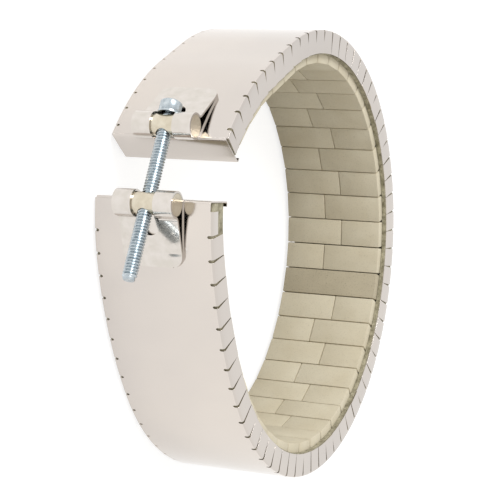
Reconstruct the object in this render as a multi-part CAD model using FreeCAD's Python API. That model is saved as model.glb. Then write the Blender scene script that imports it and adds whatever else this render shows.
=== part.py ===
"""One-piece ceramic band heater with a barrel-and-screw clamp. Millimetres, +Z along the bore.

A ring of ceramic bricks lies in a tray folded from one polished sheet. The tray's rims are slit
into tabs so that the band can flex, and its two ends carry strap brackets that hold two barrels.
The clamp screw joins the barrels across the gap, and two terminal posts stand on the back.

The origin is the centre of the bore. The back of the band is at +Y, and the gap is near -Y.
"""
import FreeCAD
import Part
import math
import os

V = FreeCAD.Vector
Z_AXIS = V(0, 0, 1)

# Layers of the wall, from the bore outwards
bore_radius = 90.0
brick_depth = 10.0
brick_back_gap = 0.3
blanket_depth = 5.0
sheet = 0.6
layer_gap = 0.1
wall = brick_depth + brick_back_gap + blanket_depth + layer_gap + sheet
band_radius = bore_radius + wall

# The band is round at the back, and its two arms open out towards the gap: (turn, outer radius)
band_width = 55.6
left_flat_radius = 4240.0
left_end_radius = 111.2
right_middle_radius = 188.6
right_end_radius = 101.2
left_arm = ((126.9, band_radius), (0.31, left_flat_radius), (28.8, left_end_radius))
right_arm = ((130.1, band_radius), (21.0, right_middle_radius), (17.1, right_end_radius))

# Folded rims: tabs between slits that reach a little way onto the outer face
tab_depth = 11.0
slit_width = 1.2
slit_reach = 1.8
slit_tip_gap = 0.15
slit_pitch = 10.21
first_slit = 14.9
last_tab = 5.0

# Folded ends
end_lip = 2.6
end_side_gap = 0.3
end_notch = 4.2

# Ceramic bricks: a short and a long one in each course
course_pitch = 13.45
mat_shift = -1.2
brick_joint = 0.3
mat_rim_gap = 0.2
rim_strip = 2.2
mat_length = band_width - 2 * sheet - mat_rim_gap - rim_strip
short_brick_share = 0.41
mat_end_gap = 0.4

# Clamp: strap brackets, barrels and screw
barrel_radius = 4.75
barrel_setback = 2.0
clamp_offset = 0.6
strap_thickness = 0.9
strap_width = 27.5
strap_length = 26.5
strap_corner = 4.5
strap_bend = 2.4
strap_lift_angle = 9.0
strap_contact = 6.0
strap_window = 10.4
strap_window_reach = 13.4
strap_window_floor = 0.45
strap_window_start = 1.6
loop_gap = 0.1
screw_radius = 3.175
screw_tail = 34.0
screw_tip_chamfer = 0.7
screw_hole_clearance = 0.45
thread_clearance = 0.05
head_radius = 4.8
head_side = 4.0
head_crown = 1.8
head_dome_radius_share = 0.78
head_dome_height_share = 0.62
head_top_share = 0.38
head_slot_width = 1.7
head_slot_depth = 2.6
washer_radius = 5.0
washer_thickness = 1.0
washer_clearance = 0.06

# Terminal posts on the back
post_radius = 2.4
post_shank_radius = 2.15
post_free_gap = 0.1
post_spacing = 25.4
post_height = 22.0
post_socket = 6.0
post_clearance = 0.05
bushing_neck_radius = 4.6
bushing_flange_radius = 6.5
bushing_flange_height = 4.0
bushing_hole_gap = 0.15
bushing_hole_reach = 12.0
post_washer_radius = 5.2
post_washer_thickness = 0.8
nut_across_flats = 9.5
nut_height = 4.0


def direction(angle):
    return V(math.cos(angle), math.sin(angle), 0)


def lay_out(arms_from_right):
    """Place every run of the band: (start distance, length, radius, centre, start heading)."""
    runs = []
    heading = math.pi - math.radians(sum(turn for turn, radius in right_arm))
    distance = -sum(math.radians(turn) * radius for turn, radius in right_arm)
    point = V(0, 0, 0)
    back = None
    for turn, radius in arms_from_right:
        if abs(distance) < 1e-6:
            back = point
        centre = point + direction(heading + math.pi / 2) * radius
        length = math.radians(turn) * radius
        runs.append((distance, length, radius, centre, heading))
        heading += math.radians(turn)
        point = centre - direction(heading + math.pi / 2) * radius
        distance += length
    shift = V(0, band_radius, 0) - back
    return [(start, length, radius, centre + shift, turned)
            for start, length, radius, centre, turned in runs]


runs = lay_out(tuple(reversed(right_arm)) + left_arm)
right_end = runs[0][0]
left_end = runs[-1][0] + runs[-1][1]
slit_count = int((left_end - right_end - first_slit - last_tab) / slit_pitch) + 1


def bore_length(arm):
    """Length of an arm along the bore."""
    return sum(math.radians(turn) * (radius - wall) for turn, radius in arm)


def course_count(arm, shift):
    """Whole courses that fit on an arm, beside the middle one."""
    return int((bore_length(arm) - end_lip / 2 - shift) / course_pitch - 0.5)


courses_right = course_count(right_arm, -mat_shift)
courses_left = course_count(left_arm, mat_shift)


def frame_at(distance, depth=0.0):
    """Point, direction of travel and inward normal, at a distance from the back along the sheet."""
    for start, length, radius, centre, heading in runs:
        if distance <= start + length:
            break
    turned = heading + (distance - start) / radius
    inward = direction(turned + math.pi / 2)
    return centre - inward * (radius - depth), direction(turned), inward


def over_bore(along_bore):
    """Distance along the sheet that lies over a distance along the bore, both from the back."""
    side = 1 if along_bore >= 0 else -1
    left = abs(along_bore)
    travelled = 0.0
    for turn, radius in (left_arm if side > 0 else right_arm):
        length = math.radians(turn) * radius
        inner_length = math.radians(turn) * (radius - wall)
        if left <= inner_length:
            return side * (travelled + left * radius / (radius - wall))
        left -= inner_length
        travelled += length
    return side * (travelled + left)


def put(shape, distance, depth=0.0):
    """Move a shape from local axes (travel, inward, Z) to a place on the band."""
    point, travel, inward = frame_at(distance, depth)
    moved = shape.copy()
    place = FreeCAD.Placement(
        FreeCAD.Matrix(travel.x, inward.x, 0, point.x,
                       travel.y, inward.y, 0, point.y,
                       0, 0, 1, 0,
                       0, 0, 0, 1))
    moved.Placement = place.multiply(moved.Placement)
    return moved


def sweep(profile, start, stop):
    """Sweep a profile drawn in the local (depth, Z) plane along the band."""
    pieces = []
    for run_start, length, radius, centre, heading in runs:
        low = max(start, run_start)
        high = min(stop, run_start + length)
        if high - low > 1e-6:
            turn = math.degrees((high - low) / radius)
            placed = put(profile, low + 1e-9)
            pieces.append(placed.revolve(centre, Z_AXIS, turn))
    if len(pieces) == 1:
        return pieces[0]
    return pieces[0].fuse(pieces[1:]).removeSplitter()


def polygon(points):
    return Part.Face(Part.makePolygon([V(*p) for p in points] + [V(*points[0])]))


def rectangle(depth_low, depth_high, z_low, z_high):
    return polygon([(0, depth_low, z_low), (0, depth_high, z_low),
                    (0, depth_high, z_high), (0, depth_low, z_high)])


def box(low, high):
    return Part.makeBox(high[0] - low[0], high[1] - low[1], high[2] - low[2], V(*low))


def tray_profile():
    """The folded sheet's section: an outer wall and two rims turned inwards."""
    half = band_width / 2
    upper = [(0, half), (tab_depth, half), (tab_depth, half - sheet), (sheet, half - sheet)]
    lower = [(depth, -z) for depth, z in reversed(upper)]
    return polygon([(0, depth, z) for depth, z in upper + lower])


def slit_tool(side):
    """One slit: it starts a little way down the outer face and narrows towards the tab's tip."""
    half = band_width / 2
    beyond = 1.0
    mouth = slit_width / 2
    tip = slit_tip_gap / 2
    foot = half - slit_reach
    wedge = polygon([(-mouth, -beyond, foot), (mouth, -beyond, foot),
                     (tip, tab_depth + beyond, foot), (-tip, tab_depth + beyond, foot)])
    tool = wedge.extrude(V(0, 0, half + beyond - foot))
    if side < 0:
        tool = tool.mirror(V(0, 0, 0), Z_AXIS)
    return tool


def end_wall(distance, side):
    """The sheet's end, folded inwards as a wall with a short lip over the bricks."""
    half = band_width / 2 - sheet - end_side_gap
    outline = [(0, 0), (0, wall), (end_lip, wall), (end_lip, wall - sheet),
               (sheet, wall - sheet), (sheet, 0)]
    plate = polygon([(side * back, depth, -half) for back, depth in outline])
    return put(plate.extrude(V(0, 0, 2 * half)), distance)


def make_casing():
    tray = sweep(tray_profile(), right_end, left_end)
    half = band_width / 2
    margin = 1.0
    cuts = []
    for k in range(slit_count):
        distance = right_end + first_slit + k * slit_pitch
        for side in (1, -1):
            cuts.append(put(slit_tool(side), distance))
    cuts.append(put(bushing_hole(-1), 0))
    cuts.append(put(bushing_hole(1), 0))
    notch = box((0, sheet + end_side_gap, half - sheet - margin),
                (end_notch, tab_depth + margin, half + margin))
    cuts.append(put(notch, right_end))
    casing = tray.cut(cuts)
    return casing.fuse([end_wall(right_end, 1), end_wall(left_end, -1)])


def bushing_hole(side):
    return Part.makeCylinder(bushing_neck_radius + bushing_hole_gap, bushing_hole_reach,
                             V(0, -bushing_hole_reach / 2, side * post_spacing / 2), V(0, 1, 0))


def make_blanket():
    """Fibre blanket behind the bricks, with a raised strip along the near rim."""
    half = band_width / 2 - sheet - layer_gap
    outer = sheet + layer_gap
    inner = outer + blanket_depth
    mat_top = mat_rim_gap + mat_length - (band_width / 2 - sheet)
    strip_depth = tab_depth + mat_end_gap
    section = polygon([(0, outer, -half), (0, inner, -half), (0, inner, mat_top + mat_rim_gap),
                       (0, strip_depth, mat_top + mat_rim_gap), (0, strip_depth, half),
                       (0, outer, half)])
    layer = sweep(section, right_end + outer + layer_gap, left_end - outer - layer_gap)
    return layer.cut([put(bushing_hole(side), 0) for side in (1, -1)])


def brick(z_low, z_high):
    """One brick: its bore face is curved to the bore, and its other faces are flat."""
    half = (course_pitch - brick_joint) / 2
    rise = bore_radius - math.sqrt(bore_radius ** 2 - half ** 2)
    edges = [
        Part.Arc(V(-half, rise, z_low), V(0, 0, z_low), V(half, rise, z_low)).toShape(),
        Part.LineSegment(V(half, rise, z_low), V(half, -brick_depth, z_low)).toShape(),
        Part.LineSegment(V(half, -brick_depth, z_low), V(-half, -brick_depth, z_low)).toShape(),
        Part.LineSegment(V(-half, -brick_depth, z_low), V(-half, rise, z_low)).toShape(),
    ]
    return Part.Face(Part.Wire(edges)).extrude(V(0, 0, z_high - z_low))


def make_courses():
    """Every course of the mat, as (name, list of brick solids), from the right end to the left."""
    bottom = mat_rim_gap - (band_width / 2 - sheet)
    top = bottom + mat_length
    courses = []
    for k in range(-courses_right, courses_left + 1):
        if k == 0:
            spans = ((bottom, top),)
        else:
            far_short = (k % 2 == 0) == (k < 0)
            share = short_brick_share if far_short else 1 - short_brick_share
            split = bottom + share * mat_length
            spans = ((bottom, split - brick_joint / 2), (split + brick_joint / 2, top))
        distance = over_bore(mat_shift + k * course_pitch)
        bricks = [put(brick(low, high), distance, wall) for low, high in spans]
        if k == 0:
            bricks = [bricks[0].cut([post(side, post_clearance) for side in (1, -1)])]
        courses.append(("tile_course_%02d" % (k + courses_right + 1), bricks))
    return courses


def on_back(solid, side):
    """Move a shape made round +Z, with z = 0 on the sheet's outer face, to a terminal post."""
    moved = solid.copy()
    moved.rotate(V(0, 0, 0), V(1, 0, 0), -90)
    moved.translate(V(0, band_radius, side * post_spacing / 2))
    return moved


def nut_seat():
    """Height of the nut's foot over the sheet's outer face."""
    return layer_gap + bushing_flange_height + post_washer_thickness


def post(side, clearance=0.0):
    """A rolled-thread post: drawn at its pitch radius where it is held, at its crests above."""
    foot = sheet + layer_gap + blanket_depth + brick_back_gap + post_socket
    free = nut_seat() + nut_height + post_free_gap
    shank = Part.makeCylinder(post_shank_radius + clearance, foot + free, V(0, 0, -foot))
    end = Part.makeCylinder(post_radius, post_height - free, V(0, 0, free))
    return on_back(shank.fuse(end).removeSplitter(), side)


def make_bushing(side):
    neck_foot = sheet + layer_gap + blanket_depth
    neck = Part.makeCylinder(bushing_neck_radius, neck_foot + layer_gap, V(0, 0, -neck_foot))
    flange = Part.makeCylinder(bushing_flange_radius, bushing_flange_height, V(0, 0, layer_gap))
    hole = Part.makeCylinder(post_radius + post_clearance, neck_foot + nut_seat(),
                             V(0, 0, -neck_foot))
    return on_back(neck.fuse(flange).removeSplitter().cut(hole), side)


def make_post_washer(side):
    low = layer_gap + bushing_flange_height
    disc = Part.makeCylinder(post_washer_radius, post_washer_thickness, V(0, 0, low))
    hole = Part.makeCylinder(post_radius + post_clearance, post_washer_thickness, V(0, 0, low))
    return on_back(disc.cut(hole), side)


def make_nut(side):
    low = nut_seat()
    corner = nut_across_flats / math.sqrt(3)
    corners = [(corner * math.cos(k * math.pi / 3), corner * math.sin(k * math.pi / 3), low)
               for k in range(6)]
    prism = polygon(corners).extrude(V(0, 0, nut_height))
    hole = Part.makeCylinder(post_shank_radius + post_clearance, nut_height, V(0, 0, low))
    return on_back(prism.cut(hole), side)


def barrel_centre(end):
    """Centre of a barrel: over the sheet, a little back from the end it serves."""
    inside = -1 if end > 0 else 1
    height = strap_thickness + loop_gap + barrel_radius
    point, travel, inward = frame_at(end + inside * barrel_setback)
    return point - inward * height + V(0, 0, clamp_offset)


plain_centre = barrel_centre(left_end)
threaded_centre = barrel_centre(right_end)
screw_line = (threaded_centre - plain_centre).normalize()
barrel_distance = (threaded_centre - plain_centre).Length


def make_barrel(centre, hole_radius):
    body = Part.makeCylinder(barrel_radius, strap_width, centre - V(0, 0, strap_width / 2))
    reach = barrel_radius + 1.0
    hole = Part.makeCylinder(hole_radius, 2 * reach, centre - screw_line * reach, screw_line)
    return body.cut(hole)


def along_screw(solid):
    """Move a shape made round +Z to the screw's line, with z = 0 at the plain barrel's centre."""
    turned = solid.copy()
    turned.Placement = FreeCAD.Placement(plain_centre, FreeCAD.Rotation(Z_AXIS, screw_line))
    return turned


def make_screw():
    seat = -(barrel_radius + washer_thickness)
    length = barrel_distance + screw_tail - seat
    shank = Part.makeCylinder(screw_radius, length, V(0, 0, seat))
    tip = [e for e in shank.Edges
           if isinstance(e.Curve, Part.Circle) and e.CenterOfMass.z > 0]
    shank = shank.makeChamfer(screw_tip_chamfer, tip)
    shoulder = seat - head_side
    outline = polygon([(0, 0, seat), (head_radius, 0, seat), (head_radius, 0, shoulder),
                       (head_radius * head_dome_radius_share, 0,
                        shoulder - head_crown * head_dome_height_share),
                       (head_radius * head_top_share, 0, shoulder - head_crown),
                       (0, 0, shoulder - head_crown)])
    head = outline.revolve(V(0, 0, 0), Z_AXIS, 360)
    top = seat - head_side - head_crown
    slot = box((-head_radius - 1.0, -head_slot_width / 2, top - 1.0),
               (head_radius + 1.0, head_slot_width / 2, top + head_slot_depth))
    return along_screw(shank.fuse(head.cut(slot)).removeSplitter())


def make_washer():
    low = -(barrel_radius + washer_thickness)
    disc = Part.makeCylinder(washer_radius, washer_thickness, V(0, 0, low))
    hole = Part.makeCylinder(screw_radius + washer_clearance, washer_thickness, V(0, 0, low))
    return along_screw(disc.cut(hole))


class Strip:
    """A folded strip of sheet drawn in the XY plane by its centre line, run after run."""

    def __init__(self, point, heading, thickness, z_low, z_high):
        self.point = point
        self.heading = heading
        self.thickness = thickness
        self.z_low = z_low
        self.height = z_high - z_low
        self.pieces = []

    def straight(self, length):
        side = direction(self.heading + math.pi / 2) * (self.thickness / 2)
        ahead = direction(self.heading) * length
        lift = V(0, 0, self.z_low)
        corners = [self.point + side, self.point - side, self.point - side + ahead,
                   self.point + side + ahead]
        outline = Part.makePolygon([c + lift for c in corners + corners[:1]])
        self.pieces.append(Part.Face(outline).extrude(V(0, 0, self.height)))
        self.point = self.point + ahead

    def bend(self, radius, turn):
        """Turn by an angle in radians, left if positive."""
        sense = 1 if turn > 0 else -1
        across = direction(self.heading + sense * math.pi / 2)
        centre = self.point + across * radius
        lift = V(0, 0, self.z_low)
        near = centre - across * (radius - self.thickness / 2) + lift
        far = centre - across * (radius + self.thickness / 2) + lift
        wall_face = Part.Face(Part.makePolygon([near, far, far + V(0, 0, self.height),
                                                near + V(0, 0, self.height), near]))
        self.pieces.append(wall_face.revolve(centre, V(0, 0, sense), math.degrees(abs(turn))))
        self.heading += turn
        self.point = centre - direction(self.heading + sense * math.pi / 2) * radius

    def solid(self):
        return self.pieces[0].fuse(self.pieces[1:]).removeSplitter()


def make_strap(end):
    """Strap bracket: a strip that lies on the sheet, wraps the barrel and returns on itself.

    It is drawn with the barrel's foot at the origin, X towards the gap and Y outwards.
    """
    radius = (left_arm if end > 0 else right_arm)[-1][1]
    half = strap_width / 2
    foot = V(0, -radius, 0)
    loop_radius = barrel_radius + loop_gap + strap_thickness / 2
    barrel = V(0, strap_thickness + loop_gap + barrel_radius, 0)
    plate_angle = strap_length / radius
    lift_angle = (strap_length - strap_contact) / radius

    upper = radius + 1.5 * strap_thickness
    start = foot + direction(math.pi / 2 + plate_angle) * upper
    strip = Strip(start, plate_angle, strap_thickness, -half, half)
    strip.bend(upper, -(plate_angle - lift_angle))
    strip.bend(strap_bend, math.radians(strap_lift_angle))
    travel = direction(strip.heading)
    left_side = direction(strip.heading + math.pi / 2)
    reach = barrel - strip.point - left_side * strap_bend
    ahead = reach.dot(travel)
    apart = reach.dot(left_side)
    run = ahead - math.sqrt((loop_radius + strap_bend) ** 2 - apart ** 2)
    strip.straight(run)
    knuckle = strip.point + direction(strip.heading + math.pi / 2) * strap_bend
    to_barrel = barrel - knuckle
    up = math.atan2(to_barrel.y, to_barrel.x) + math.pi / 2
    strip.bend(strap_bend, up - strip.heading)
    strip.bend(loop_radius, -(math.pi + strip.heading))
    strip.bend(radius + strap_thickness / 2, plate_angle)
    body = strip.solid()

    # the window that the screw passes through, with a round end on the upper ply
    window = strap_window / 2
    floor = strap_thickness + strap_window_floor
    top = 2 * loop_radius + strap_thickness + 2.0
    slot = box((-(strap_window_reach - window), floor, -window),
               (loop_radius + strap_thickness, top, window))
    round_end = Part.makeCylinder(window, top - floor,
                                  V(-(strap_window_reach - window), floor, 0), V(0, 1, 0))
    mouth = box((strap_window_start, -strap_thickness, -window),
                (loop_radius + strap_thickness, top, window))
    cuts = [slot.fuse([round_end, mouth])]

    # rounded corners at the foot of the plate
    plate_end = -strap_length * math.cos(plate_angle / 2)
    depth = radius * (1 - math.cos(plate_angle)) + 4.0
    for side in (1, -1):
        low = min(side * (half - strap_corner), side * (half + 1.0))
        high = max(side * (half - strap_corner), side * (half + 1.0))
        corner = box((plate_end - 2.0, -depth, low), (plate_end + strap_corner, depth, high))
        disc = Part.makeCylinder(strap_corner, 2 * depth,
                                 V(plate_end + strap_corner, -depth, side * (half - strap_corner)),
                                 V(0, 1, 0))
        cuts.append(corner.cut(disc))
    body = body.cut(cuts)

    inside = -1 if end > 0 else 1
    point, travel, inward = frame_at(end + inside * barrel_setback)
    gap_way = travel * (1 if end > 0 else -1)
    moved = body.copy()
    if end < 0:
        moved = moved.mirror(V(0, 0, 0), V(1, 0, 0))
        gap_way = gap_way * -1
    outwards = inward * -1
    moved.Placement = FreeCAD.Placement(
        FreeCAD.Matrix(gap_way.x, outwards.x, 0, point.x,
                       gap_way.y, outwards.y, 0, point.y,
                       0, 0, -1, clamp_offset,
                       0, 0, 0, 1)).multiply(moved.Placement)
    return moved


def save(name, solids):
    shape = solids[0] if len(solids) == 1 else Part.makeCompound(solids)
    for solid in shape.Solids:
        if not solid.isValid():
            print("not valid:", name)
    shape.exportStep(os.path.join("parts", name + ".step"))
    print("%-22s %2d solids %10.1f mm3" % (name, len(shape.Solids), shape.Volume))


def main():
    os.makedirs("parts", exist_ok=True)
    save("casing", [make_casing()])
    save("insulation_blanket", [make_blanket()])
    for name, bricks in make_courses():
        save(name, bricks)
    save("strap_left", [make_strap(left_end)])
    save("strap_right", [make_strap(right_end)])
    save("plain_barrel", [make_barrel(plain_centre, screw_radius + screw_hole_clearance)])
    save("threaded_barrel", [make_barrel(threaded_centre, screw_radius + thread_clearance)])
    save("clamp_washer", [make_washer()])
    save("clamp_screw", [make_screw()])
    save("terminal_posts", [post(1), post(-1)])
    save("terminal_bushings", [make_bushing(1), make_bushing(-1)])
    save("terminal_washers", [make_post_washer(1), make_post_washer(-1)])
    save("terminal_nuts", [make_nut(1), make_nut(-1)])
    print("screw axis", screw_line, "plain", plain_centre, "threaded", threaded_centre)


main()
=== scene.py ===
"""The looks of the ceramic band heater: polished tray, brick mat, strap brackets and clamp screw.

Lengths are written in millimetres and turned into metres where a piece gets its mesh.
The band's layout repeats the values that the solids are made from.
"""
import math
import random

import bmesh
import bpy
from mathutils import Matrix, Vector


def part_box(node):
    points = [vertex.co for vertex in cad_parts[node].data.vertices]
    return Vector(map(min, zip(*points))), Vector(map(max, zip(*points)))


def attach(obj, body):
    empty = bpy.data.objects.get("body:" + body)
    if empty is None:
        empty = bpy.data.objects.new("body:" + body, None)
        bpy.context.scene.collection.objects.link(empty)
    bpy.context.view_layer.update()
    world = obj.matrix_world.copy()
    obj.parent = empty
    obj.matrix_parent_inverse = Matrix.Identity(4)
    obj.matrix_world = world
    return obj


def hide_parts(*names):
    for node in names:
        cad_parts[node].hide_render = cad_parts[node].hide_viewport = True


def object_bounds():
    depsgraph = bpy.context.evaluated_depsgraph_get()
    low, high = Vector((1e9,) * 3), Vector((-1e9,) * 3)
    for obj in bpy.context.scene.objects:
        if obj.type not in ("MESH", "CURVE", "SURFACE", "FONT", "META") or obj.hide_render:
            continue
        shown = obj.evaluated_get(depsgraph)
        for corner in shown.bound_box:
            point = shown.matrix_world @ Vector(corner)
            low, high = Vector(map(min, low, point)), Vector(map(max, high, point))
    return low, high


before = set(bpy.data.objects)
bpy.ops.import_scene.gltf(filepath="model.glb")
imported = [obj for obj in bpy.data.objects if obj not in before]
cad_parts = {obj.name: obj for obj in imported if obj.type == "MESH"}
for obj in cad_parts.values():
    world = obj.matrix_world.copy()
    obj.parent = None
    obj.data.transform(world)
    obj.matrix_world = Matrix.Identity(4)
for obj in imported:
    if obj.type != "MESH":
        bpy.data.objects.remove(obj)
cad_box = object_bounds()

mm = 0.001
merge_distance = 1e-6
scatter = random.Random(11)

# The band: two arms from the middle of the back, as (turn in degrees, outer radius)
wall = 16.0
sheet = 0.6
band_radius = 106.0
left_arm = ((126.9, band_radius), (0.31, 4240.0), (28.8, 111.2))
right_arm = ((130.1, band_radius), (21.0, 188.6), (17.1, 101.2))
half_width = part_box("casing")[1].z / mm

# The tray's folds, slits and end walls
fold = 1.0
fold_steps = 5
wall_steps = 10
tab_depth = 11.0
tab_rows = (8.0, 4.5)
tab_steps = 4
slit_width = 1.2
slit_reach = 1.8
slit_tip_gap = 0.2
slit_pitch = 10.21
slit_count = 63
slit_steps = 4
first_slit = 14.9
end_lip = 2.6
end_wall_shares = (0.3, 0.5, 0.7)
notch_share = 0.25
rim_tolerance = 0.01
tray_edge = 0.1

# How far the tabs lean in at their tips, and how far one side of a tip leans more
tab_lean = (0.05, 0.35)
tab_twist = (-0.15, 0.15)
open_tabs = 13
open_lean = 0.45
open_twist = (0.35, 0.8)
end_tab_lean = 1.2

# The brick mat
brick_depth = 10.0
brick_edge = 0.45
brick_sink = (0.05, 0.3)
brick_turn = 0.006
grey_sink = 0.1
course_pitch = 13.45
courses_right = 21
courses_left = 19
mat_shift = -1.2
brick_joint = 0.3
mat_length = 52.0
mat_rim_gap = 0.2
short_brick_share = 0.41
grey_course = courses_right + 1

# The clamp screw, a quarter-inch screw with twenty threads to the inch
thread_pitch = 1.27
thread_crest = 3.15
thread_root = 2.45
head_radius = 4.8
head_side = 4.0
head_crown = 1.8
head_edge = 0.3
crown_steps = 8
neck_length = 2.0
thread_start = 1.5
thread_end = 0.6
tail_reach = 34.0
tail_cone = 0.5
tail_swell = 0.2
tail_taper = 0.1
barrel_radius = 4.75
washer_thickness = 1.0


# ---------------------------------------------------------------- layout of the band

def heading_of(angle):
    return Vector((math.cos(angle), math.sin(angle), 0))


def lay_out():
    """Every run of the band from the right end: (start, length, radius, centre, heading)."""
    found = []
    heading = math.pi - math.radians(sum(turn for turn, radius in right_arm))
    distance = -sum(math.radians(turn) * radius for turn, radius in right_arm)
    point = Vector((0, 0, 0))
    back = None
    for turn, radius in tuple(reversed(right_arm)) + left_arm:
        if abs(distance) < merge_distance:
            back = point.copy()
        centre = point + heading_of(heading + math.pi / 2) * radius
        length = math.radians(turn) * radius
        found.append((distance, length, radius, centre, heading))
        heading += math.radians(turn)
        point = centre - heading_of(heading + math.pi / 2) * radius
        distance += length
    shift = Vector((0, band_radius, 0)) - back
    return [(start, length, radius, centre + shift, turned)
            for start, length, radius, centre, turned in found]


runs = lay_out()
right_end = runs[0][0]
left_end = runs[-1][0] + runs[-1][1]


def frame_at(distance):
    """Point on the outer face, direction of travel and inward normal at a distance along it."""
    for start, length, radius, centre, heading in runs:
        if distance <= start + length:
            break
    turned = heading + (distance - start) / radius
    inward = heading_of(turned + math.pi / 2)
    return centre - inward * radius, heading_of(turned), inward


def on_band(distance, depth, z):
    """A place on the band, in metres."""
    point, travel, inward = frame_at(distance)
    return (point + inward * depth + Vector((0, 0, z))) * mm


def over_bore(along_bore):
    """Distance along the outer face over a distance along the bore, both from the back."""
    side = 1 if along_bore >= 0 else -1
    left = abs(along_bore)
    travelled = 0.0
    for turn, radius in (left_arm if side > 0 else right_arm):
        length = math.radians(turn) * radius
        bore_length = math.radians(turn) * (radius - wall)
        if left <= bore_length:
            return side * (travelled + left * radius / (radius - wall))
        left -= bore_length
        travelled += length
    return side * (travelled + left)


# ---------------------------------------------------------------- pieces

def piece(name, bm, finish, body, stands_for, sharp=35.0):
    """Make an object from a bmesh: smooth faces with sharp edges past an angle in degrees."""
    mesh = bpy.data.meshes.new(name)
    bm.to_mesh(mesh)
    bm.free()
    mesh.shade_smooth()
    mesh.set_sharp_from_angle(angle=math.radians(sharp))
    made = bpy.data.objects.new(name, mesh)
    bpy.context.scene.collection.objects.link(made)
    made.data.materials.append(finish)
    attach(made, body)
    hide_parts(*stands_for)
    return made


def soften(made, width, segments=2, angle=35.0):
    """Round a piece's edges over by a width in millimetres."""
    bevel = made.modifiers.new("soft_edges", "BEVEL")
    bevel.width = width * mm
    bevel.segments = segments
    bevel.limit_method = "ANGLE"
    bevel.angle_limit = math.radians(angle)
    return made


def copy_of(node, flatness=0.5):
    """A merged copy of a CAD node's mesh, its flat faces whole again."""
    bm = bmesh.new()
    bm.from_mesh(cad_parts[node].data)
    bmesh.ops.remove_doubles(bm, verts=bm.verts[:], dist=merge_distance)
    bmesh.ops.dissolve_limit(bm, angle_limit=math.radians(flatness), verts=bm.verts[:],
                             edges=bm.edges[:], delimit={"NORMAL"})
    return bm


# ---------------------------------------------------------------- the tray

def fold_rows():
    """Rows across the flat blank, near rim to far rim, as (depth, z) pairs.

    With them come the number of the row at the slits' feet and of the last row of the fold.
    """
    near = [(depth, half_width) for depth in (tab_depth, *tab_rows, fold)]
    for k in range(1, fold_steps + 1):
        angle = math.pi / 2 * k / fold_steps
        near.append((fold - fold * math.sin(angle), half_width - fold + fold * math.cos(angle)))
    foot_z = half_width - slit_reach
    near.append((0.0, foot_z))
    middle = [(0.0, foot_z * (1 - 2 * k / wall_steps)) for k in range(1, wall_steps)]
    far = [(depth, -z) for depth, z in reversed(near)]
    foot_row = len(near) - 1
    return near + middle + far, foot_row, foot_row - 1


def end_columns():
    """Places down an end wall from the outer face: (how far it stands back from the end, depth)."""
    places = []
    for k in range(fold_steps):
        angle = math.pi / 2 * k / fold_steps
        places.append((fold - fold * math.sin(angle), fold - fold * math.cos(angle)))
    for depth in (fold, *(wall * share for share in end_wall_shares), wall - fold):
        places.append((0.0, depth))
    for k in range(1, fold_steps + 1):
        angle = math.pi / 2 * k / fold_steps
        places.append((fold - fold * math.cos(angle), wall - fold + fold * math.sin(angle)))
    places.append((end_lip, wall))
    return places


def band_columns():
    """Columns along the flat blank between the end walls: (kind, index, fraction)."""
    columns = []
    for k in range(slit_count + 1):
        columns += [("tab", k, n / tab_steps) for n in range(tab_steps + 1)]
        if k < slit_count:
            columns += [("slit", k, n / slit_steps) for n in range(1, slit_steps)]
    return columns


def slit_half(depth):
    """Half of a slit's width at a depth: it narrows towards the tips of the tabs."""
    share = min(max(depth / tab_depth, 0.0), 1.0)
    return (slit_width + (slit_tip_gap - slit_width) * share) / 2


def slit_edge(k, side, depth):
    """Distance along the band of a slit's edge: side -1 its right edge, 1 its left edge."""
    if k < 0:
        return right_end + fold
    if k >= slit_count:
        return left_end - fold
    return right_end + first_slit + k * slit_pitch + side * slit_half(depth)


def column_distance(kind, k, fraction, depth):
    """Distance along the band of a column that crosses a tab or a slit."""
    if kind == "tab":
        low = slit_edge(k - 1, 1, depth)
        high = slit_edge(k, -1, depth)
    else:
        low = slit_edge(k, -1, depth)
        high = slit_edge(k, 1, depth)
    return low + (high - low) * fraction


class Tab:
    """How far one tab leans in and twists, in millimetres at its tip."""

    def __init__(self, lean, twist):
        self.lean = lean
        self.twist = twist

    def drop(self, fraction, depth):
        share = max(depth - fold, 0.0) / (tab_depth - fold)
        return (self.lean + self.twist * (fraction - 0.5)) * share


def make_tabs(near):
    """The tabs of one rim. Those of the near rim by the left end are twisted further open."""
    tabs = []
    for k in range(slit_count + 1):
        lean = scatter.uniform(*tab_lean)
        twist = scatter.uniform(*tab_twist)
        if near and k > slit_count - open_tabs:
            twist = scatter.uniform(*open_twist)
            lean = open_lean
        if near and k == 0:
            lean = end_tab_lean
        tabs.append(Tab(lean, twist))
    return tabs


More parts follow.
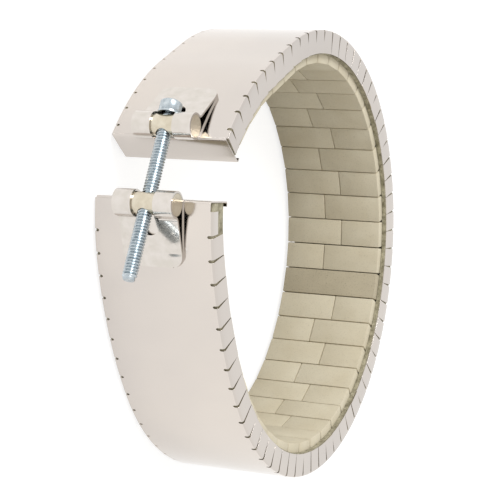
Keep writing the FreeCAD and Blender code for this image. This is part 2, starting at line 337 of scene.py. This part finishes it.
def make_casing(finish):
    """The tray: a flat grid laid on the band, its slits cut, then given the sheet's thickness."""
    rows, foot_row, bend_row = fold_rows()
    ends = end_columns()
    columns = ([("right", n, 0) for n in reversed(range(len(ends)))] + band_columns()
               + [("left", n, 0) for n in range(len(ends))])
    across = len(rows) - 1
    along = len(columns) - 1
    tabs = {1: make_tabs(True), -1: make_tabs(False)}
    bm = bmesh.new()
    bmesh.ops.create_grid(bm, x_segments=along, y_segments=across, size=1.0)

    spots = {}
    for vertex in bm.verts:
        i = round((vertex.co.x + 1) / 2 * along)
        j = round((vertex.co.y + 1) / 2 * across)
        spots[vertex] = (i, j)

    doomed = []
    for face in bm.faces:
        i = min(spots[v][0] for v in face.verts)
        j = min(spots[v][1] for v in face.verts)
        kind, k, fraction = columns[i]
        kinds = (kind, columns[i + 1][0])
        in_slit = "slit" in kinds
        on_end = "right" in kinds or "left" in kinds
        on_rim = j < foot_row or j >= across - foot_row
        bent = j < bend_row or j >= across - bend_row
        notched = kind == "tab" and k == 0 and fraction < notch_share and j < bend_row
        if (in_slit and on_rim) or (on_end and bent) or notched:
            doomed.append(face)

    for vertex, (i, j) in spots.items():
        kind, k, fraction = columns[i]
        depth, z = rows[j]
        side = 1 if z > 0 else -1
        if kind in ("right", "left"):
            inset, depth = ends[k]
            distance = right_end + inset if kind == "right" else left_end - inset
        else:
            distance = column_distance(kind, k, fraction, depth)
            if kind == "slit" and j in (foot_row, across - foot_row):
                offset = (fraction - 0.5) * 2
                z -= side * math.sqrt(max(1 - offset * offset, 0)) * slit_width / 2
            if kind == "tab" and depth >= fold and abs(z) > half_width - rim_tolerance:
                z -= side * tabs[side][k].drop(fraction, depth)
        vertex.co = on_band(distance, depth, z)

    bmesh.ops.delete(bm, geom=doomed, context="FACES")
    bmesh.ops.delete(bm, geom=[v for v in bm.verts if not v.link_faces], context="VERTS")
    bmesh.ops.recalc_face_normals(bm, faces=bm.faces[:])
    outward = sum(f.normal.dot(Vector((f.calc_center_median().x, f.calc_center_median().y, 0)))
                  for f in bm.faces)
    if outward < 0:
        bmesh.ops.reverse_faces(bm, faces=bm.faces[:])
    bmesh.ops.solidify(bm, geom=bm.faces[:], thickness=sheet * mm)
    bmesh.ops.recalc_face_normals(bm, faces=bm.faces[:])
    made = piece("folded_tray", bm, finish, "band", ["casing"])
    soften(made, tray_edge)


# ---------------------------------------------------------------- the brick mat

def make_brick(bm, distance, z_low, z_high, sink):
    """One brick with rounded edges, set back from the bore by a small distance."""
    width = course_pitch - brick_joint
    point, travel, inward = frame_at(distance)
    foot = point + inward * (wall - brick_depth / 2 - sink)
    turn = Matrix((travel, inward, Vector((0, 0, 1)))).transposed().to_4x4()
    place = Matrix.Translation((foot + Vector((0, 0, (z_low + z_high) / 2))) * mm) @ turn
    place = place @ Matrix.Rotation(scatter.uniform(-brick_turn, brick_turn), 4, "Z")
    size = Matrix.Diagonal((width * mm, brick_depth * mm, (z_high - z_low) * mm, 1))
    made = bmesh.ops.create_cube(bm, size=1.0, matrix=place @ size)
    edges = list({e for v in made["verts"] for e in v.link_edges})
    bmesh.ops.bevel(bm, geom=edges, offset=brick_edge * mm, offset_type="OFFSET", segments=2,
                    affect="EDGES", profile=0.5, material=-1)


def make_courses(cream, grey):
    """A short and a long brick in each course, and one full-width grey course."""
    bottom = mat_rim_gap - (half_width - sheet)
    top = bottom + mat_length
    for k in range(-courses_right, courses_left + 1):
        number = k + courses_right + 1
        bm = bmesh.new()
        distance = over_bore(mat_shift + k * course_pitch)
        if number == grey_course:
            make_brick(bm, distance, bottom, top, grey_sink)
            finish = grey
        else:
            far_short = (k % 2 == 0) == (k < 0)
            share = short_brick_share if far_short else 1 - short_brick_share
            split = bottom + share * mat_length
            make_brick(bm, distance, bottom, split - brick_joint / 2, scatter.uniform(*brick_sink))
            make_brick(bm, distance, split + brick_joint / 2, top, scatter.uniform(*brick_sink))
            finish = cream
        piece("bricks_%02d" % number, bm, finish, "band", ["tile_course_%02d" % number])


# ---------------------------------------------------------------- the clamp

def along_screw(bm):
    """Move a shape made round +Z onto the screw's axis, from the plain barrel's centre."""
    low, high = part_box("plain_barrel")
    plain = (low + high) / 2
    low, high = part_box("threaded_barrel")
    line = ((low + high) / 2 - plain).normalized()
    turn = line.to_track_quat("Z", "Y").to_matrix().to_4x4()
    bmesh.ops.transform(bm, matrix=Matrix.Translation(plain) @ turn, verts=bm.verts[:])


def thread(bm, start, turns, crest, root, pitch, steps=24):
    """A helical thread round +Z from a height, spun from one pitch of its outline."""
    flat = pitch / 8
    outline = [(root, 0.0), (crest, pitch / 2 - flat), (crest, pitch / 2 + flat), (root, pitch)]
    verts = [bm.verts.new((radius * mm, 0, (start + height) * mm)) for radius, height in outline]
    edges = [bm.edges.new(pair) for pair in zip(verts, verts[1:])]
    bmesh.ops.spin(bm, geom=verts + edges, cent=(0, 0, 0), axis=(0, 0, 1),
                   dvec=(0, 0, pitch * mm / steps), angle=math.tau * turns,
                   steps=steps * turns, use_merge=False, use_normal_flip=False,
                   use_duplicate=False)
    bmesh.ops.remove_doubles(bm, verts=bm.verts[:], dist=merge_distance)


def lathe(bm, outline, steps=48):
    """A turned shape round +Z from the (radius, height) points of its outline."""
    verts = [bm.verts.new((radius * mm, 0, height * mm)) for radius, height in outline]
    edges = [bm.edges.new(pair) for pair in zip(verts, verts[1:])]
    bmesh.ops.spin(bm, geom=verts + edges, cent=(0, 0, 0), axis=(0, 0, 1), dvec=(0, 0, 0),
                   angle=math.tau, steps=steps, use_merge=True, use_normal_flip=False,
                   use_duplicate=False)
    bmesh.ops.remove_doubles(bm, verts=bm.verts[:], dist=merge_distance)


def make_screw(finish):
    """The screw round +Z, its head below the plain barrel, then put on its axis."""
    seat = -(barrel_radius + washer_thickness)
    rim = seat - head_side
    crown = [(head_radius * math.sin(angle), rim - head_crown * math.cos(angle))
             for angle in (math.pi / 2 * k / crown_steps for k in range(1, crown_steps))]
    side = [(head_radius, rim), (head_radius, seat - head_edge), (head_radius - head_edge, seat)]
    neck = [(thread_root, seat), (thread_root, seat + neck_length)]
    barrels_apart = (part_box("threaded_barrel")[0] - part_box("plain_barrel")[0]).length / mm
    tail = tail_reach + barrels_apart
    turns = int((tail - thread_end - (seat + thread_start)) / thread_pitch)
    start = tail - thread_end - (turns + 1) * thread_pitch
    point = [(thread_root, tail - thread_pitch - thread_end),
             (thread_root + tail_swell, tail - tail_cone), (thread_root - tail_taper, tail),
             (0, tail)]
    bm = bmesh.new()
    lathe(bm, [(0, rim - head_crown)] + crown + side + neck)
    thread(bm, start, turns, thread_crest, thread_root, thread_pitch)
    lathe(bm, point)
    bmesh.ops.recalc_face_normals(bm, faces=bm.faces[:])
    along_screw(bm)
    piece("threaded_screw", bm, finish, "screw", ["clamp_screw"], 50.0)


def make_copies(finishes):
    """Merged copies of the small turned and folded pieces, with their edges rounded over."""
    table = [
        ("strap_left", "polished_strap", 0.15),
        ("strap_right", "polished_strap", 0.15),
        ("plain_barrel", "plated_barrel", 0.15),
        ("threaded_barrel", "plated_barrel", 0.15),
        ("clamp_washer", "zinc_plate", 0.12),
        ("terminal_posts", "terminal_steel", 0.15),
        ("terminal_bushings", "bushing_ceramic", 0.3),
        ("terminal_washers", "terminal_steel", 0.1),
        ("terminal_nuts", "terminal_steel", 0.25),
        ("insulation_blanket", "fibre_blanket", 0.3),
    ]
    for node, slot_name, edge in table:
        body = "washer" if node == "clamp_washer" else "band"
        made = piece("finished_" + node, copy_of(node), finishes[slot_name], body,
                     [node], 30.0)
        soften(made, edge)


# ---------------------------------------------------------------- finishes

# A Mix node's inputs for the share and the two colours, and its output for the colour
mix_inputs = (0, 6, 7)
mix_output = 2


class Number:
    """A number socket: arithmetic on it adds Math nodes."""

    def __init__(self, nodes, socket):
        self.nodes = nodes
        self.socket = socket

    def __add__(self, other):
        return self.nodes.math("ADD", self, other)

    def __radd__(self, other):
        return self.nodes.math("ADD", other, self)

    def __mul__(self, other):
        return self.nodes.math("MULTIPLY", self, other)

    def __rmul__(self, other):
        return self.nodes.math("MULTIPLY", other, self)


class Nodes:
    """A node tree, emptied and then built node by node."""

    def __init__(self, owner):
        owner.use_nodes = True
        self.tree = owner.node_tree
        self.tree.nodes.clear()

    def node(self, kind, settings=None, values=(), **sockets):
        """A node: its settings first, then its inputs in order, then its inputs by name."""
        made = self.tree.nodes.new(kind)
        for name, value in (settings or {}).items():
            setattr(made, name, value)
        for socket, value in zip(made.inputs, values):
            self.feed(socket, value)
        for name, value in sockets.items():
            self.feed(made.inputs[name.replace("_", " ")], value)
        return made

    def feed(self, socket, value):
        if isinstance(value, Number):
            value = value.socket
        if isinstance(value, bpy.types.NodeSocket):
            self.tree.links.new(value, socket)
        else:
            socket.default_value = value

    def math(self, operation, first, second):
        made = self.node("ShaderNodeMath", {"operation": operation}, (first, second))
        return Number(self, made.outputs[0])


class Finish(Nodes):
    """A material built round one Principled shader."""

    def __init__(self, name):
        self.material = bpy.data.materials.new(name)
        super().__init__(self.material)
        self.shader = self.node("ShaderNodeBsdfPrincipled")
        self.node("ShaderNodeOutputMaterial", Surface=self.shader.outputs[0])
        self.place = self.node("ShaderNodeTexCoord").outputs["Object"]

    def noise(self, scale, detail=2.0, roughness=0.5, place=None):
        made = self.node("ShaderNodeTexNoise", Vector=place or self.place, Scale=scale,
                         Detail=detail, Roughness=roughness)
        return Number(self, made.outputs["Fac"])

    def stretched(self, scale):
        return self.node("ShaderNodeMapping", Vector=self.place, Scale=scale).outputs[0]

    def ramp(self, value, low, high):
        made = self.node("ShaderNodeMapRange", Value=value, From_Min=low, From_Max=high)
        return Number(self, made.outputs[0])

    def blend(self, share, first, second):
        made = self.node("ShaderNodeMix", {"data_type": "RGBA"})
        for number, value in zip(mix_inputs, (share, first, second)):
            self.feed(made.inputs[number], value)
        return made.outputs[mix_output]

    def bump(self, height, strength, distance):
        made = self.node("ShaderNodeBump", Height=height, Strength=strength, Distance=distance)
        return made.outputs[0]

    def surface(self, **sockets):
        for name, value in sockets.items():
            self.feed(self.shader.inputs[name.replace("_", " ")], value)
        return self.material


def rgb(red, green, blue):
    """A colour from 0 to 255 in each part, as a screen shows it, in linear light."""
    def linear(value):
        value /= 255
        return value / 12.92 if value <= 0.04045 else ((value + 0.055) / 1.055) ** 2.4
    return (linear(red), linear(green), linear(blue), 1.0)


def level(value):
    """A grey in linear light."""
    return (value, value, value, 1)


def polished_sheet():
    finish = Finish("polished_sheet")
    cloud = finish.noise(scale=14.0, detail=3.0)
    colour = finish.blend(finish.ramp(cloud, low=0.35, high=0.65),
                          rgb(205, 198, 192), rgb(214, 206, 198))
    rolling = finish.stretched((1.0, 1.0, 0.15))
    streak = finish.noise(scale=90.0, detail=2.0, roughness=0.6, place=rolling)
    rough = finish.ramp(streak, low=0.3, high=0.7) * 0.05 + 0.10
    wave = finish.noise(scale=22.0, detail=2.0)
    return finish.surface(Base_Color=colour, Metallic=1.0, Roughness=rough,
                          Normal=finish.bump(wave, strength=0.25, distance=0.0006))


def plated(name, light, dark, smoothest, roughest, grain=250.0):
    finish = Finish(name)
    cloud = finish.noise(scale=grain, detail=3.0)
    share = finish.ramp(cloud, low=0.35, high=0.65)
    colour = finish.blend(share, light, dark)
    rough = share * (roughest - smoothest) + smoothest
    return finish.surface(Base_Color=colour, Metallic=1.0, Roughness=rough,
                          Normal=finish.bump(cloud, strength=0.15, distance=0.0001))


def ceramic(name, light, dark, speckle):
    finish = Finish(name)
    cloud = finish.noise(scale=45.0, detail=4.0, roughness=0.6)
    fine = finish.noise(scale=1400.0, detail=2.0, roughness=0.6)
    colour = finish.blend(finish.ramp(cloud, low=0.3, high=0.7), light, dark)
    specks = finish.ramp(fine, low=0.55, high=0.8) * speckle
    colour = finish.blend(specks, colour, rgb(120, 110, 90))
    height = finish.noise(scale=700.0, detail=3.0, roughness=0.6)
    return finish.surface(Base_Color=colour, Roughness=0.85,
                          Normal=finish.bump(height, strength=0.35, distance=0.0003))


def fibre():
    finish = Finish("fibre_blanket")
    tuft = finish.noise(scale=350.0, detail=5.0, roughness=0.7)
    colour = finish.blend(finish.ramp(tuft, low=0.35, high=0.65),
                          rgb(120, 114, 92), rgb(190, 184, 160))
    return finish.surface(Base_Color=colour, Roughness=0.95,
                          Normal=finish.bump(tuft, strength=0.8, distance=0.001))


# ---------------------------------------------------------------- stage, light and camera

floor_reach = 4.0
floor_gap = 0.001
sky_colour = (1.0, 0.985, 0.96, 1)
sky_strength = 0.75
camera_place = (106.47, -711.02, 314.27)
camera_aim = (0.75, -3.10, -7.07)
picture_up = (-0.98211, -0.17648, -0.06566)
camera_lens = 117.0


def make_stage():
    low, high = cad_box
    bm = bmesh.new()
    bmesh.ops.create_grid(bm, x_segments=1, y_segments=1, size=floor_reach)
    bmesh.ops.translate(bm, vec=(0, 0, low.z - floor_gap), verts=bm.verts[:])
    mesh = bpy.data.meshes.new("floor")
    bm.to_mesh(mesh)
    bm.free()
    floor = bpy.data.objects.new("floor", mesh)
    bpy.context.scene.collection.objects.link(floor)
    finish = Finish("pale_floor")
    path = finish.node("ShaderNodeLightPath").outputs
    seen = (Number(finish, path["Is Camera Ray"]) + Number(finish, path["Is Glossy Ray"])
            + Number(finish, path["Is Transmission Ray"]))
    glow = finish.blend(seen, level(0), level(0.75))
    floor.data.materials.append(finish.surface(Base_Color=level(0.4), Roughness=0.9,
                                               Emission_Color=glow, Emission_Strength=1.0))


def make_world():
    """A soft warm sky that lights the object and is seen, and mirrored, as white."""
    world = bpy.data.worlds.new("studio")
    bpy.context.scene.world = world
    nodes = Nodes(world)
    path = nodes.node("ShaderNodeLightPath").outputs
    seen = nodes.math("MAXIMUM", path["Is Camera Ray"], path["Is Glossy Ray"])
    seen = nodes.math("MAXIMUM", seen, path["Is Transmission Ray"])
    sky = nodes.node("ShaderNodeBackground", Color=sky_colour, Strength=sky_strength)
    white = nodes.node("ShaderNodeBackground", Color=level(1), Strength=1.0)
    mixed = nodes.node("ShaderNodeMixShader", values=(seen, sky.outputs[0], white.outputs[0]))
    nodes.node("ShaderNodeOutputWorld", Surface=mixed.outputs[0])


def make_lamp(name, place, size, power):
    lamp = bpy.data.lights.new(name, "AREA")
    lamp.shape = "DISK"
    lamp.size = size
    lamp.energy = power
    made = bpy.data.objects.new(name, lamp)
    made.location = place
    made.rotation_mode = "QUATERNION"
    made.rotation_quaternion = Vector(place).to_track_quat("Z", "Y")
    bpy.context.scene.collection.objects.link(made)


def make_camera():
    place = Vector(camera_place) * mm
    aim = Vector(camera_aim) * mm
    back = (place - aim).normalized()
    right = Vector(picture_up).cross(back).normalized()
    up = back.cross(right)
    camera = bpy.data.cameras.new("camera")
    camera.lens = camera_lens
    camera.sensor_width = 36.0
    camera.clip_start = 0.01
    camera.clip_end = 20.0
    made = bpy.data.objects.new("camera", camera)
    made.matrix_world = Matrix.Translation(place) @ Matrix((right, up, back)).transposed().to_4x4()
    bpy.context.scene.collection.objects.link(made)
    bpy.context.scene.camera = made


def dress():
    cream = ceramic("cream_ceramic", rgb(222, 214, 192), rgb(210, 200, 175), speckle=0.25)
    grey = ceramic("grey_ceramic", rgb(196, 186, 162), rgb(182, 172, 148), speckle=0.6)
    finishes = {
        "polished_strap": plated("polished_strap", rgb(214, 208, 202), rgb(206, 200, 192),
                                 smoothest=0.08, roughest=0.14),
        "plated_barrel": plated("plated_barrel", rgb(214, 206, 188), rgb(200, 190, 170),
                                smoothest=0.14, roughest=0.22),
        "zinc_plate": plated("zinc_plate", rgb(200, 208, 212), rgb(170, 180, 186),
                             smoothest=0.2, roughest=0.34, grain=600.0),
        "terminal_steel": plated("terminal_steel", rgb(196, 194, 190), rgb(180, 178, 172),
                                 smoothest=0.2, roughest=0.3),
        "bushing_ceramic": ceramic("bushing_ceramic", rgb(230, 224, 208), rgb(222, 214, 196),
                                   speckle=0.1),
        "fibre_blanket": fibre(),
    }
    make_casing(polished_sheet())
    make_courses(cream, grey)
    make_screw(finishes["zinc_plate"])
    make_copies(finishes)


dress()
make_stage()
make_world()
make_lamp("key", place=(-0.9, -0.9, 0.9), size=0.8, power=12.0)
make_camera()
bpy.context.scene.view_settings.view_transform = "Standard"
